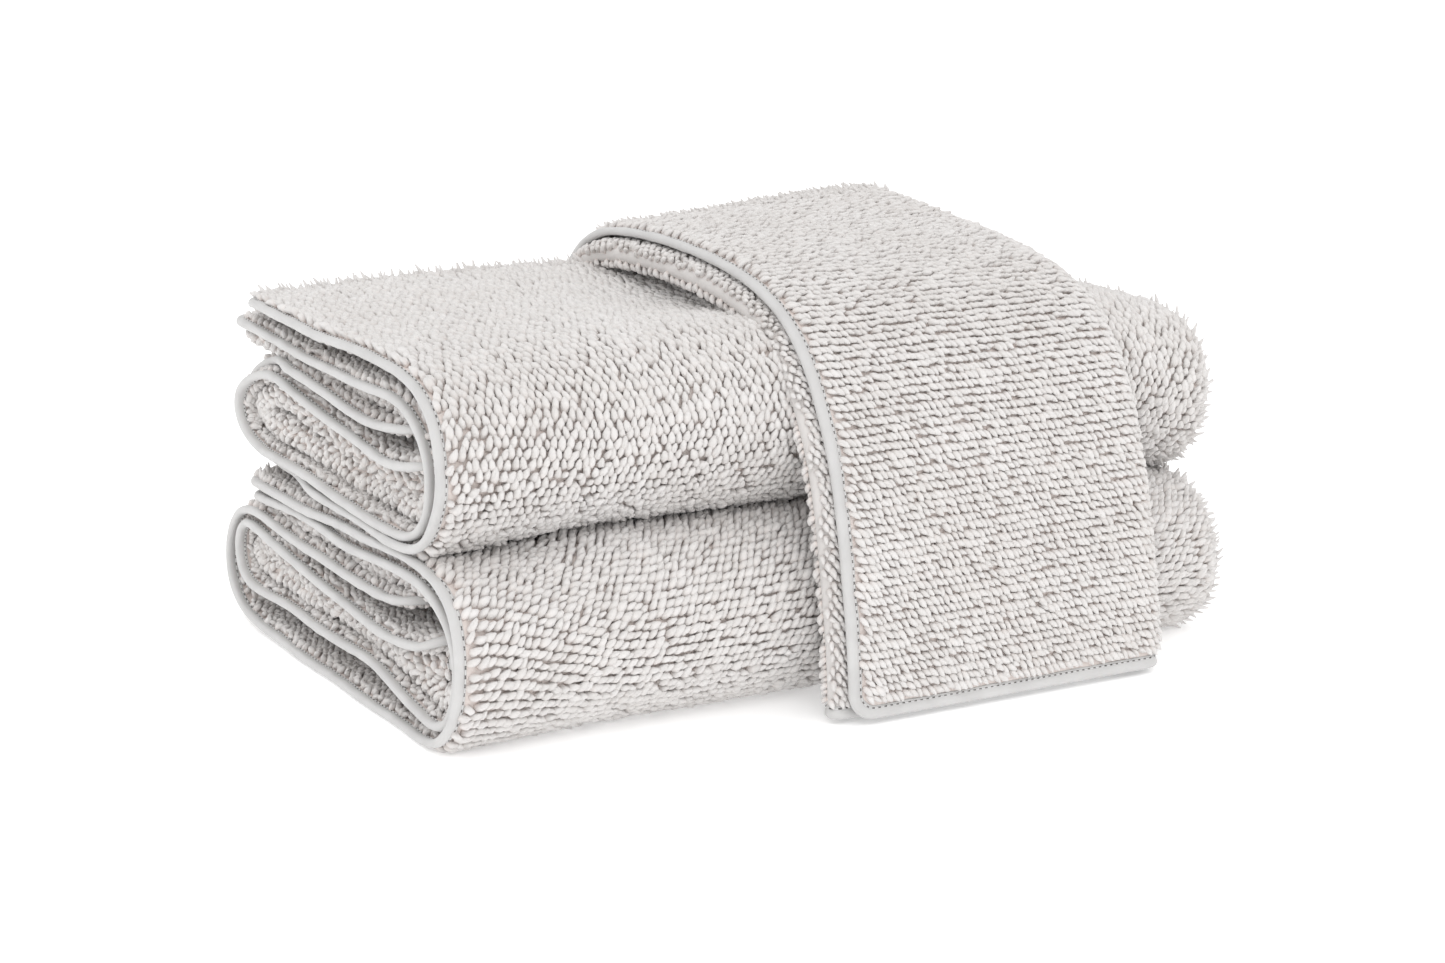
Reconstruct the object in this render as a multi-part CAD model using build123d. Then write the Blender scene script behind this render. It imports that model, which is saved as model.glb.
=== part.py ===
from build123d import *
import os

# Folded bath towel set, in millimetres: two bath towels, each folded in quarters along
# its length and then rolled flat in thirds, stacked, with a hand towel folded in thirds
# across its width and laid over the stack from front to back.
#
# Working frame: X from the bound ends of the bath towels (0) to their folded ends,
# Y from the front of the lower towel (about 0) towards the back, Z up from the surface.
# Everything is moved at the end, so that the origin is the bottom centre of the whole.

# --- cloth ---------------------------------------------------------------------------
PLY = 6.2                     # one ply of looped terry, lightly pressed
TAPE_THICK = 3.8              # folded tape round the edge of one ply
TAPE_WIDE = 8.5               # how far the tape reaches in from the edge
TAPE_WALL = 2.0               # tape beyond the cloth's cut edge
EDGE_THICK = 2.4              # the cloth's pressed edge inside the tape
THREAD = 0.3                  # how far the seam thread stands off the tape
SEAM_IN = 6.0                 # seam line, from the tape's outer edge
SEAM_WIDE = 0.8

# --- bath towels ---------------------------------------------------------------------
BATH_FLAT = (700.0, 1400.0)   # width and length, laid flat
FOLDED_LENGTH = BATH_FLAT[1] / 4
PLIES_IN_RUN = 4              # quartered: two bound plies and one closed fold
RUN = PLIES_IN_RUN * PLY      # thickness of one third
BATH_HIGH = 3 * RUN           # three runs: top, middle and bottom
END_FOLD = 10.0               # the closed folds stand this far inside the bound edges
END_ROUND = 13.0              # rounding of the folded ends
LOWER_FRONT = -4.0
LOWER_BACK = 236.0
LOWER_TOP_RUN_END = 200.0
UPPER_FRONT = 8.0             # the upper towel sits a little further back
UPPER_BACK = 217.0
UPPER_TOP_RUN_END = 186.0
MIDDLE_RUN_END = 42.0         # where the innermost third stops, from the front
STACK_GAP = 0.6               # free height between the two folded towels

# --- hand towel ----------------------------------------------------------------------
HAND_FLAT = (460.0, 710.0)
HAND_LEFT = 144.0             # closed folds on the left
HAND_TAPE_LEFT = 152.0        # bound edge of the outer ply
HAND_RIGHT = HAND_LEFT + HAND_FLAT[0] / 3 + 3.0
HAND_THICK = 3 * PLY
DRAPE_GAP = 0.8               # free height over the stack
HEM = 6.5                     # hem tape beyond the terry at both ends
HEM_LIFT = 2.0                # front hem above the surface
TAIL_LIFT = 0.3               # tail above the surface
FRONT_FOOT_Y = -23.8          # middle of the front panel at its hem
FRONT_LEAN = 0.1515           # the front panel leans in this much per millimetre up
BACK_FOOT_Y = 257.0
BACK_LEAN = 0.317
FRONT_BEND = 48.7             # bend radii, on the middle of the thickness
BACK_BEND = 36.0
FOOT_BEND = 20.0


def bar(x0, x1, face):
    """Extrude a face drawn at X = 0 so that it fills x0 to x1."""
    return Pos(x0, 0, 0) * extrude(face, amount=x1 - x0, dir=(1, 0, 0))


def joined(pieces):
    """Fuse a list of pieces; pieces that don't touch stay separate solids."""
    whole = pieces[0]
    for piece in pieces[1:]:
        whole += piece
    return whole


def strip(y0, y1, z0, z1):
    """A rectangle in the YZ plane."""
    corners = [(0, y0, z0), (0, y1, z0), (0, y1, z1), (0, y0, z1), (0, y0, z0)]
    return Face(Wire.make_polygon(corners))


# --- one folded bath towel -----------------------------------------------------------
class Rolled:
    """Side view of a towel rolled flat in thirds: where each depth in the roll lies."""

    def __init__(self, base, front, back, top_end):
        self.base = base
        self.front = front
        self.back = back
        self.top_end = top_end

    def line(self, depth):
        """Edges of the line that runs `depth` below the outer face, from the top run's
        end, round the front fold, underneath, round the back fold, to the middle run."""
        top = self.base + BATH_HIGH - depth
        low = self.base + depth
        middle = self.base + 2 * RUN - depth
        front_centre = self.front + BATH_HIGH / 2
        back_centre = self.back - RUN
        inner_end = self.front + MIDDLE_RUN_END
        a = (0, self.top_end, top)
        b = (0, front_centre, top)
        c = (0, self.front + depth, self.base + BATH_HIGH / 2)
        d = (0, front_centre, low)
        e = (0, back_centre, low)
        f = (0, self.back - depth, self.base + RUN)
        g = (0, back_centre, middle)
        h = (0, inner_end, middle)
        edges = [Edge.make_line(a, b), Edge.make_three_point_arc(b, c, d)]
        edges += [Edge.make_line(d, e), Edge.make_three_point_arc(e, f, g)]
        edges += [Edge.make_line(g, h)]
        return edges, a, h

    def band(self, depth0, depth1):
        """The face between two depths of the roll."""
        outer, outer_start, outer_end = self.line(depth0)
        inner, inner_start, inner_end = self.line(depth1)
        ends = [Edge.make_line(outer_start, inner_start), Edge.make_line(outer_end, inner_end)]
        return Face(Wire(outer + inner + ends))

    def outline(self):
        """The outside of the whole folded towel."""
        top = self.base + BATH_HIGH
        shelf = self.base + 2 * RUN
        front_centre = self.front + BATH_HIGH / 2
        back_centre = self.back - RUN
        edges = [
            Edge.make_line((0, self.top_end, top), (0, front_centre, top)),
            Edge.make_three_point_arc(
                (0, front_centre, top),
                (0, self.front, self.base + BATH_HIGH / 2),
                (0, front_centre, self.base),
            ),
            Edge.make_line((0, front_centre, self.base), (0, back_centre, self.base)),
            Edge.make_three_point_arc(
                (0, back_centre, self.base),
                (0, self.back, self.base + RUN),
                (0, back_centre, shelf),
            ),
            Edge.make_line((0, back_centre, shelf), (0, self.top_end, shelf)),
            Edge.make_line((0, self.top_end, shelf), (0, self.top_end, top)),
        ]
        return Face(Wire(edges))


def bound_depths():
    """Depth of the middle of each of the two bound plies."""
    return [PLY / 2, PLY * 3 / 2]


def bath_terry(roll):
    """The folded cloth, with the two bound plies standing out at the left end."""
    body = bar(END_FOLD, FOLDED_LENGTH, roll.outline())
    end_edges = [e for e in body.edges() if e.center().X > FOLDED_LENGTH - 0.01]
    shelf = roll.base + 2 * RUN
    rounded = [e for e in end_edges if not near_shelf(e, shelf, roll)]
    body = fillet(rounded, END_ROUND)
    for depth in bound_depths():
        half = EDGE_THICK / 2
        body += bar(TAPE_WALL, END_FOLD, roll.band(depth - half, depth + half))
    return body


def near_shelf(edge, shelf, roll):
    """True for the two edges at the step behind the top run, which stay sharp."""
    centre = edge.center()
    on_step = abs(centre.Y - roll.top_end) < 0.01
    on_shelf = abs(centre.Z - shelf) < 0.01 and centre.Y > roll.top_end
    return on_step or on_shelf


def bath_binding(roll):
    """Folded tape round the bound edges: two lines on the left end, four at the back."""
    half_tape = TAPE_THICK / 2
    half_edge = EDGE_THICK / 2
    tape = []
    for depth in bound_depths():
        whole = bar(0, TAPE_WIDE, roll.band(depth - half_tape, depth + half_tape))
        slot = bar(TAPE_WALL, TAPE_WIDE, roll.band(depth - half_edge, depth + half_edge))
        tape.append(whole - slot)
    for ply in range(PLIES_IN_RUN):
        middle = roll.base + BATH_HIGH - (ply + 0.5) * PLY
        face = strip(roll.top_end, roll.top_end + HEM, middle - half_tape, middle + half_tape)
        start = 0 if ply < 2 else END_FOLD
        tape.append(bar(start, FOLDED_LENGTH - END_ROUND, face))
    return joined(tape)


def bath_stitching(roll):
    """Seam thread along both sides of the tape on the left end."""
    seam = []
    half_tape = TAPE_THICK / 2
    for depth in bound_depths():
        for near in (depth - half_tape - THREAD, depth + half_tape):
            face = roll.band(near, near + THREAD)
            seam.append(bar(SEAM_IN, SEAM_IN + SEAM_WIDE, face))
    return joined(seam)


# --- hand towel ----------------------------------------------------------------------
TOP_OF_STACK = 2 * BATH_HIGH + STACK_GAP
DRAPE_TOP = TOP_OF_STACK + DRAPE_GAP + HAND_THICK / 2
TAIL_HIGH = TAIL_LIFT + HAND_THICK / 2


def drape_corners():
    """Corners of the middle of the drape: hem, front edge, back edge, foot, tail end."""
    hem = Vector(FRONT_FOOT_Y, HEM_LIFT)
    front = Vector(FRONT_FOOT_Y + FRONT_LEAN * (DRAPE_TOP - HEM_LIFT), DRAPE_TOP)
    foot = Vector(BACK_FOOT_Y, TAIL_HIGH)
    back = Vector(BACK_FOOT_Y - BACK_LEAN * (DRAPE_TOP - TAIL_HIGH), DRAPE_TOP)
    start = [hem, front, back, foot]
    probe = FilletPolyline(*start, foot + Vector(1000, 0), radius=[FRONT_BEND, BACK_BEND, FOOT_BEND])
    over = probe.length - HAND_FLAT[1]
    return start + [foot + Vector(1000 - over, 0)]


def side_line(corners, shift):
    """The drape's line moved outwards by `shift`, with its bend radii to match."""
    moved = []
    last = len(corners) - 1
    for i, corner in enumerate(corners):
        before = (corners[i] - corners[i - 1]).normalized() if i > 0 else None
        after = (corners[i + 1] - corners[i]).normalized() if i < last else None
        first = before or after
        second = after or before
        normal_1 = Vector(-first.Y, first.X)
        normal_2 = Vector(-second.Y, second.X)
        middle = (normal_1 + normal_2).normalized()
        moved.append(corner + middle * (shift / middle.dot(normal_1)))
    radii = [FRONT_BEND + shift, BACK_BEND + shift, FOOT_BEND - shift]
    return FilletPolyline(*moved, radius=radii)


def drape_face(shift0, shift1, trim):
    """Side view of a layer of the drape between two shifts, cut short by `trim`."""
    corners = drape_corners()
    up = (corners[1] - corners[0]).normalized()
    corners[0] = corners[0] + up * trim
    corners[-1] = corners[-1] - Vector(trim, 0)
    inner = side_line(corners, shift0)
    outer = side_line(corners, shift1)
    ends = [Line(inner @ 0, outer @ 0), Line(inner @ 1, outer @ 1)]
    face = Face(Wire(inner.edges() + outer.edges() + [e.edge() for e in ends]))
    return Plane.YZ * face


def hem_bars(shift0, shift1, x0, x1):
    """Hem tape across both ends of one ply."""
    whole = bar(x0, x1, drape_face(shift0, shift1, 0))
    middle = bar(x0 - 1, x1 + 1, drape_face(shift0 - 1, shift1 + 1, HEM))
    return whole - middle


def hand_terry():
    """Three plies: two in closed folds, and the outer one with its bound left edge."""
    half = HAND_THICK / 2
    under = bar(HAND_LEFT, HAND_RIGHT, drape_face(-half, half - PLY, HEM))
    outer = bar(HAND_TAPE_LEFT + TAPE_WIDE, HAND_RIGHT, drape_face(half - PLY, half, HEM))
    low = half - PLY / 2 - EDGE_THICK / 2
    edge_face = drape_face(low, low + EDGE_THICK, HEM)
    edge = bar(HAND_TAPE_LEFT + TAPE_WALL, HAND_TAPE_LEFT + TAPE_WIDE, edge_face)
    return under + outer + edge


def hand_binding():
    """Tape down the left edge of the outer ply, and hem tape on each ply."""
    half = HAND_THICK / 2
    middle = half - PLY / 2
    left = HAND_TAPE_LEFT
    whole = bar(left, left + TAPE_WIDE, drape_face(middle - TAPE_THICK / 2, middle + TAPE_THICK / 2, 0))
    slot_face = drape_face(middle - EDGE_THICK / 2, middle + EDGE_THICK / 2, HEM)
    slot = bar(left + TAPE_WALL, left + TAPE_WIDE, slot_face)
    outer_hem = hem_bars(
        middle - TAPE_THICK / 2, middle + TAPE_THICK / 2, left + TAPE_WIDE, HAND_RIGHT
    )
    tape = [whole - slot + outer_hem]
    for ply in (0, 1):
        level = -half + (ply + 0.5) * PLY
        tape.append(hem_bars(level - TAPE_THICK / 2, level + TAPE_THICK / 2, HAND_LEFT, HAND_RIGHT))
    return joined(tape)


def hand_stitching():
    """Seam thread on the outer side of the left tape."""
    level = HAND_THICK / 2 - PLY / 2 + TAPE_THICK / 2
    x0 = HAND_TAPE_LEFT + SEAM_IN
    return bar(x0, x0 + SEAM_WIDE, drape_face(level, level + THREAD, 0))


# --- the set -------------------------------------------------------------------------
lower = Rolled(0, LOWER_FRONT, LOWER_BACK, LOWER_TOP_RUN_END)
upper = Rolled(BATH_HIGH + STACK_GAP, UPPER_FRONT, UPPER_BACK, UPPER_TOP_RUN_END)

nodes = {
    "lower_bath_towel_terry": bath_terry(lower),
    "lower_bath_towel_binding": bath_binding(lower),
    "lower_bath_towel_stitching": bath_stitching(lower),
    "upper_bath_towel_terry": bath_terry(upper),
    "upper_bath_towel_binding": bath_binding(upper),
    "upper_bath_towel_stitching": bath_stitching(upper),
    "hand_towel_terry": hand_terry(),
    "hand_towel_binding": hand_binding(),
    "hand_towel_stitching": hand_stitching(),
}

size = Compound(children=list(nodes.values())).bounding_box()
centre = Pos(-(size.min.X + size.max.X) / 2, -(size.min.Y + size.max.Y) / 2, 0)
print("whole box", size.min, size.max)

os.makedirs("parts", exist_ok=True)
for name, shape in nodes.items():
    shape.parent = None
    export_step(centre * shape, f"parts/{name}.step")
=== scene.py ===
from collections import namedtuple

import bpy
import numpy as np
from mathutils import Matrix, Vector


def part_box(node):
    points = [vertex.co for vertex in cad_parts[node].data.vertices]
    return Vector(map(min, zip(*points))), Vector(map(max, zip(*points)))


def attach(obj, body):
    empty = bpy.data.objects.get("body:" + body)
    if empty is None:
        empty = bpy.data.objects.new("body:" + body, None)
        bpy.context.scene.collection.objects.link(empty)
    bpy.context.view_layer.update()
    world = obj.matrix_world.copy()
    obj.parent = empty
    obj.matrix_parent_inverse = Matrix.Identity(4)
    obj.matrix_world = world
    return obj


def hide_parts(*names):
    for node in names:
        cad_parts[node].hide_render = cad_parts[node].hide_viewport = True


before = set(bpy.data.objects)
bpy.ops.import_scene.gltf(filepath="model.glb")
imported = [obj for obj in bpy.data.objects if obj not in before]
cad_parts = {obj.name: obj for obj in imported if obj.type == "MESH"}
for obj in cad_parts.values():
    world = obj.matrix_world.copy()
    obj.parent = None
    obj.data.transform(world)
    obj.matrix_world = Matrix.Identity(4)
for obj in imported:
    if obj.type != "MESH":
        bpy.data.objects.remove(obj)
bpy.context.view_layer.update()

# Lengths below are millimetres in the stack's own frame: X from the bound ends of the
# bath towels to their folded ends, Y from the front to the back, Z up from the floor.
MM = 0.001
LOWER_FRONT_Y = -4.0       # where the front of the lower towel lies
STACK_X0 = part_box("lower_bath_towel_binding")[0][0]
STACK_Y0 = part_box("lower_bath_towel_terry")[0][1] - LOWER_FRONT_Y * MM
ORIGIN = np.array([STACK_X0, STACK_Y0, 0.0])

PLY = 6.2                  # one ply, lightly pressed, pile and all
LAYER = 4 * PLY            # thickness of a bath towel folded in quarters
GROUND = 1.2               # the woven ground between the two piles
GROUND_INSET = 1.6         # how far inside the tape's outer edge the ground ends
LENGTH = 350.0             # the folded length of a bath towel
CORNER = 11.0              # radius of a towel's rounded corners
CORNER_POINTS = 9
BATH_SEAM = 3.9            # from the tape's outer edge in to its seam
HAND_SEAM = 4.6
HAND_FLAT = (0.46, 0.71)
RANDOM_TURN = 6.3          # a little over a full turn, for phases drawn at random
NOWHERE = -99.0            # off the cloth: this ground has no bare fold

# The loops' pitch across and along the cloth, how far one row slips on the next in
# pitches, the size and width of a loop, and how steeply it stands, in radians.
Pile = namedtuple("Pile", "pitch_u pitch_v slip size width steep")
BATH_PILE = Pile(3.3, 3.35, 0.5, 1.12, 0.85, 0.02)
HAND_PILE = Pile(2.8, 3.4, 0.5, 0.98, 0.8, 0.0)
FOLD_PILE = Pile(2.4, 2.6, 0.5, 0.8, 0.9, 0.04)       # two ridges along the drape's fold
END_PILE = Pile(3.0, 3.0, 0.5, 0.84, 1.0, 0.04)       # finer curls at the bound ends
FRINGE_PILE = Pile(4.2, 4.2, 0.37, 1.7, 0.3, 0.75)    # long and thin, out of the outline
CREST_PILE = Pile(4.0, 4.4, 0.37, 1.28, 0.42, 0.6)    # shorter, over the drape's crest
COVERED_PILE = Pile(4.1, 4.2, 0.5, 1.3, 1.0, -0.05)   # coarser, seen only on a lifted towel
LOOPS_PER_PIECE = 3300
# How far single loops stray: their row and their place in pitches, their steepness in
# radians, and their size and width as a share.
ROW_STRAY, STRAY_U, STRAY_V = 0.06, 0.07, 0.05
STEEP_STRAY, SIZE_STRAY, WIDTH_STRAY = 0.15, 0.07, 0.06
# The share of loops that stand up by RUFFLED_LIFT: everywhere, and how many more of them
# past X = END_FROM, fully so END_OVER further on, and where the cloth lies level.
RUFFLED, RUFFLED_END, RUFFLED_LEVEL = 0.12, 0.3, 0.14
END_FROM, END_OVER = 315, 25
RUFFLED_LIFT = 0.5
rng = np.random.default_rng(11)


# --- camera --------------------------------------------------------------------------
CAMERA_AT = (-456.8, -1027.8, 388.7)
CAMERA_AZIMUTH = 29.04
CAMERA_DROP = 14.0
CAMERA_LENS = 79.7
CAMERA_SENSOR = 36.0


def add_camera():
    """The photograph's viewpoint: front left, a little above the stack."""
    azimuth = np.radians(CAMERA_AZIMUTH)
    drop = np.radians(CAMERA_DROP)
    look = Vector(
        (np.sin(azimuth) * np.cos(drop), np.cos(azimuth) * np.cos(drop), -np.sin(drop))
    )
    data = bpy.data.cameras.new("camera")
    data.lens = CAMERA_LENS
    data.sensor_width = CAMERA_SENSOR
    camera = bpy.data.objects.new("camera", data)
    camera.location = Vector(ORIGIN + np.array(CAMERA_AT) * MM)
    camera.rotation_euler = look.to_track_quat("-Z", "Y").to_euler()
    bpy.context.scene.collection.objects.link(camera)
    bpy.context.scene.camera = camera


# --- lines and grids -----------------------------------------------------------------
def unit(a):
    return a / np.maximum(np.linalg.norm(a, axis=-1, keepdims=True), 1e-12)


def arc_lengths(line):
    """The distance along the line at each of its points."""
    return np.concatenate([[0.0], np.cumsum(np.linalg.norm(np.diff(line, axis=0), axis=1))])


def smooth_line(points, dense=60):
    """A smooth line through the points. Returns its dense points, the length along it
    at each of them, and the same length at each given point."""
    p = np.array(points, float)
    chord = np.linalg.norm(np.diff(p, axis=0), axis=1)
    t = np.concatenate([[0.0], np.cumsum(np.sqrt(chord))])
    slope = np.gradient(p, t, axis=0)
    k = np.repeat(np.arange(len(p) - 1), dense)
    s = np.tile(np.linspace(0, 1, dense, endpoint=False), len(p) - 1)[:, None]
    h = (t[k + 1] - t[k])[:, None]
    line = (2 * s**3 - 3 * s**2 + 1) * p[k] + (s**3 - 2 * s**2 + s) * h * slope[k]
    line += (3 * s**2 - 2 * s**3) * p[k + 1] + (s**3 - s**2) * h * slope[k + 1]
    line = np.vstack([line, p[-1]])
    length = arc_lengths(line)
    return line, length, length[::dense]


def at_lengths(line, length, wanted):
    """Points on a flat line at the wanted lengths along it."""
    return np.stack([np.interp(wanted, length, line[:, i]) for i in range(2)], axis=1)


def inward(line, depth):
    """The line moved towards the inside of the roll, to the left of its direction."""
    along = unit(np.gradient(line, axis=0))
    normal = np.stack([-along[:, 1], along[:, 0]], axis=1)
    return line + normal * np.reshape(depth, (-1, 1))


def ease(x):
    """From 0 to 1 with a soft start and a soft end."""
    x = np.clip(x, 0, 1)
    return x * x * (3 - 2 * x)


def waves(x, y, size, seed):
    """A smooth, seeded unevenness, mostly between -1 and 1, with features of this size."""
    local = np.random.default_rng(seed)
    sines, usual_peak = 6, 3.2
    total = 0
    for _ in range(sines):
        angle = local.uniform(0, 2 * np.pi)
        pace = 2 * np.pi / (size * local.uniform(0.7, 1.6))
        reach = x * np.cos(angle) + y * np.sin(angle)
        total = total + np.sin(reach * pace + local.uniform(0, RANDOM_TURN))
    return total / usual_peak


class Cloth:
    """A sheet of cloth as a grid of places, u across it and v along it, in millimetres.
    face is 1 or -1, whichever turns the normals out, and right_fold and left_fold are
    the distances across at which its two folds have their middles."""

    def __init__(self, places, u, v, face, folds):
        self.places = places
        self.u = u
        self.v = v
        self.right_fold, self.left_fold = folds
        du = np.gradient(places, u, axis=0)
        dv = np.gradient(places, v, axis=1)
        self.across = unit(du)
        self.along = unit(dv)
        self.normal = unit(np.cross(dv, du)) * face

    def at(self, u, v):
        """Place, normal and the two directions at any points of the sheet."""
        u = np.clip(np.asarray(u, float), self.u[0], self.u[-1])
        v = np.clip(np.asarray(v, float), self.v[0], self.v[-1])
        i = np.clip(np.searchsorted(self.u, u) - 1, 0, len(self.u) - 2)
        j = np.clip(np.searchsorted(self.v, v) - 1, 0, len(self.v) - 2)
        a = ((u - self.u[i]) / (self.u[i + 1] - self.u[i]))[..., None]
        b = ((v - self.v[j]) / (self.v[j + 1] - self.v[j]))[..., None]

        def mix(grid):
            low = grid[i, j] * (1 - b) + grid[i, j + 1] * b
            high = grid[i + 1, j] * (1 - b) + grid[i + 1, j + 1] * b
            return low * (1 - a) + high * a

        return mix(self.places), unit(mix(self.normal)), unit(mix(self.across)), unit(mix(self.along))


# --- meshes --------------------------------------------------------------------------
def make_piece(name, verts, faces, material, layers):
    """A mesh piece from points in stack millimetres and triangles or quads, with a
    value for each point in every layer."""
    mesh = bpy.data.meshes.new(name)
    sides = faces.shape[1]
    mesh.vertices.add(len(verts))
    mesh.vertices.foreach_set("co", (verts * MM + ORIGIN).astype(np.float32).ravel())
    mesh.loops.add(faces.size)
    mesh.loops.foreach_set("vertex_index", faces.astype(np.int32).ravel())
    mesh.polygons.add(len(faces))
    mesh.polygons.foreach_set("loop_start", np.arange(0, faces.size, sides, dtype=np.int32))
    mesh.polygons.foreach_set("use_smooth", np.full(len(faces), True))
    for layer, values in layers.items():
        attribute = mesh.attributes.new(layer, "FLOAT", "POINT")
        attribute.data.foreach_set("value", values.astype(np.float32).ravel())
    mesh.update(calc_edges=True)
    mesh.validate()
    mesh.materials.append(material)
    piece = bpy.data.objects.new(name, mesh)
    bpy.context.scene.collection.objects.link(piece)
    return piece


def grid_faces(rows, columns, wrap=False):
    """Quads of a grid of rows by columns; wrap closes each row into a ring."""
    i = np.arange(rows - 1)[:, None]
    j = np.arange(columns if wrap else columns - 1)[None, :]
    k = (j + 1) % columns
    a = i * columns + j
    b = i * columns + k
    c = (i + 1) * columns + k
    d = (i + 1) * columns + j
    return np.stack([a, b, c, d], axis=-1).reshape(-1, 4)


def ground_piece(name, cloth, material, bare_at):
    """The woven ground: a thin closed sheet with rounded corners. No pile covers it
    along the fold at bare_at, where its colour is set apart from the painted shade elsewhere."""
    u, v = np.meshgrid(cloth.u, cloth.v, indexing="ij")
    # Fully bare within 4.2 of the fold, and not at all beyond 7.2.
    bare = np.clip(2.4 - np.abs(u - bare_at) / 3.0, 0, 1).ravel()
    low_u, high_u = cloth.u[0] + GROUND_INSET, cloth.u[-1] - GROUND_INSET
    low_v, high_v = cloth.v[0] + GROUND_INSET, cloth.v[-1] - GROUND_INSET
    u = np.clip(u, low_u, high_u)
    v = np.clip(v, low_v, high_v)
    radius = CORNER - GROUND_INSET
    centre_u = np.clip(u, low_u + radius, high_u - radius)
    centre_v = np.clip(v, low_v + radius, high_v - radius)
    far = np.hypot(u - centre_u, v - centre_v)
    pull = np.where(far > radius, radius / np.maximum(far, 1e-9), 1.0)
    u = centre_u + (u - centre_u) * pull
    v = centre_v + (v - centre_v) * pull
    place, normal, _, _ = cloth.at(u, v)
    rows, columns = u.shape
    top = (place + normal * GROUND / 2).reshape(-1, 3)
    low = (place - normal * GROUND / 2).reshape(-1, 3)
    count = rows * columns
    faces = grid_faces(rows, columns)
    index = np.arange(count).reshape(rows, columns)
    rim = np.concatenate([index[:-1, 0], index[-1, :-1], index[:0:-1, -1], index[0, :0:-1]])
    after = np.roll(rim, -1)
    sides = np.stack([rim, after, after + count, rim + count], axis=1)
    faces = np.vstack([faces[:, ::-1], faces + count, sides])
    layers = {"bare": np.concatenate([bare, bare])}
    return make_piece(name, np.vstack([top, low]), faces, material, layers)


def perimeter(cloth, step):
    """Points along the towel's edge, with rounded corners, and the inward direction."""
    low_u, high_u = cloth.u[0], cloth.u[-1]
    low_v, high_v = cloth.v[0], cloth.v[-1]
    r = CORNER
    corners = [(high_u - r, low_v + r, -90), (high_u - r, high_v - r, 0)]
    corners += [(low_u + r, high_v - r, 90), (low_u + r, low_v + r, 180)]
    points = []
    normals = []
    for k, (cu, cv, start) in enumerate(corners):
        for angle in np.radians(np.linspace(start, start + 90, CORNER_POINTS)):
            points.append((cu + r * np.cos(angle), cv + r * np.sin(angle)))
            normals.append((-np.cos(angle), -np.sin(angle)))
        nu, nv, after = corners[(k + 1) % 4]
        angle = np.radians(after)
        end = np.array((nu + r * np.cos(angle), nv + r * np.sin(angle)))
        begin = np.array(points[-1])
        count = int(np.linalg.norm(end - begin) / step)
        for f in np.linspace(0, 1, count, endpoint=False)[1:]:
            points.append(tuple(begin + (end - begin) * f))
            normals.append((-np.cos(angle), -np.sin(angle)))
    return np.array(points), np.array(normals)


TAPE_STEP = 2.6            # from one ring of the tape to the next
TAPE_LIP = 1.22            # the tape's inner edge, in seam distances from its outer edge
SEAM_HALF = 1.08           # half the thickness of the tape at its seam
TAPE_HALF = [              # distance in from the edge in seam distances, half thickness
    (0.0, 0.0), (0.05, 0.85), (0.16, 1.4), (0.34, 1.75), (0.58, 1.75), (0.8, 1.5),
    (0.93, 1.2), (1.0, SEAM_HALF), (1.07, 1.2), (1.16, 1.18), (TAPE_LIP, 0.8), (TAPE_LIP, 0.0),
]


def tape_piece(name, cloth, material, seam, seed):
    """Folded tape round the whole edge of a towel, slightly uneven, as sewn."""
    path, inwards = perimeter(cloth, TAPE_STEP)
    run = arc_lengths(np.vstack([path, path[:1]]))[:-1]
    # Thicker and thinner, and wider and narrower, over lengths of 7 to 23.
    puff = 1 + 0.07 * waves(run, 0 * run, 17, seed) + 0.05 * waves(run, 0 * run, 7, seed + 1)
    slip = 0.35 * waves(run, 0 * run, 23, seed + 2)
    section = TAPE_HALF + [(x, -h) for x, h in TAPE_HALF[-2:0:-1]]
    rings = []
    for x, h in section:
        spread = x * seam + slip * min(2 * x, 1.0) * 0.6
        uv = path + inwards * spread[:, None]
        place, normal, _, _ = cloth.at(uv[:, 0], uv[:, 1])
        rings.append(place + normal * (h * puff)[:, None])
    grid = np.stack(rings, axis=1)
    count, around = grid.shape[:2]
    grid = np.vstack([grid, grid[:1]])
    faces = grid_faces(count + 1, around, wrap=True) % (count * around)
    across = np.tile([x * seam for x, _ in section], count)
    layers = {"run": np.repeat(run, around), "across": across}
    return make_piece(name, grid[:-1].reshape(-1, 3), faces, material, layers)


def tube(centres, sides, ups, radii, around):
    """Rings round many centre lines at once: arrays [piece, ring, 3] and radii."""
    turn = np.linspace(0, 2 * np.pi, around, endpoint=False)
    return (
        centres[:, :, None, :]
        + sides[:, :, None, :] * (radii[:, :, None] * np.cos(turn))[..., None]
        + ups[:, :, None, :] * (radii[:, :, None] * np.sin(turn))[..., None]
    )


def tube_faces(rings, around):
    """Triangles of one closed tube: its sides and two flat ends."""
    faces = []
    for k in range(rings - 1):
        for j in range(around):
            a = k * around + j
            b = k * around + (j + 1) % around
            faces += [(a, b, b + around), (a, b + around, a + around)]
    last = (rings - 1) * around
    for j in range(1, around - 1):
        faces.append((0, j + 1, j))
        faces.append((last, last + j, last + j + 1))
    return np.array(faces)


def many_tubes(name, rings, faces, material, ring_layers, tones=None):
    """One piece made of many tubes, with the given faces on each. A ring layer has a
    value for each ring of a tube, and tones has one for each tube."""
    total, count, around = rings.shape[:3]
    each = count * around
    index = faces[None] + (np.arange(total) * each)[:, None, None]
    layers = {
        key: np.tile(np.repeat(values, around), total) for key, values in ring_layers.items()
    }
    if tones is not None:
        layers["tone"] = np.repeat(tones, each)
    return make_piece(name, rings.reshape(-1, 3), index.reshape(-1, 3), material, layers)


STITCH_PITCH = 2.75
STITCH_SIDES = 5
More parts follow.
